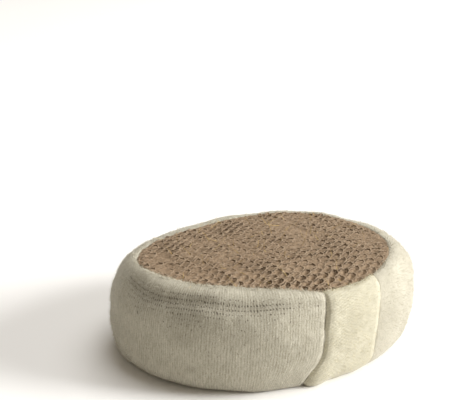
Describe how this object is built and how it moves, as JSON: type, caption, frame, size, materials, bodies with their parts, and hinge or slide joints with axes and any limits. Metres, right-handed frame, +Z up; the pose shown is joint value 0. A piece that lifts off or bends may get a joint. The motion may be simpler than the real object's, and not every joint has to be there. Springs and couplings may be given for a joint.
{
  "type": "exfoliating bath sponge",
  "caption": "Oval padded bath sponge: a foam pad in a cotton terry cover, with a coarse knitted sisal scrubbing face on top and a joining panel in the side.",
  "frame": {"origin": "the middle of the underside, on the surface that the sponge rests on", "axes": "+X along the oval's length, +Z up through the sisal face; the joining panel faces -Y"},
  "size_m": [0.1402, 0.1034, 0.0443],
  "materials": {
    "foam": "open-cell foam, hidden by the cover",
    "sisal_knit": "coarse two-ply sisal yarn, knitted, hairy",
    "terry": "cream cotton terry, fine ribs",
    "panel_terry": "warm cream cotton terry with slanted rows"
  },
  "bodies": {
    "root": {"foam_core": "foam", "sisal_face": "sisal_knit", "back_panel": "terry", "side_band": "terry", "joining_panel": "panel_terry"}
  },
  "joints": []
}
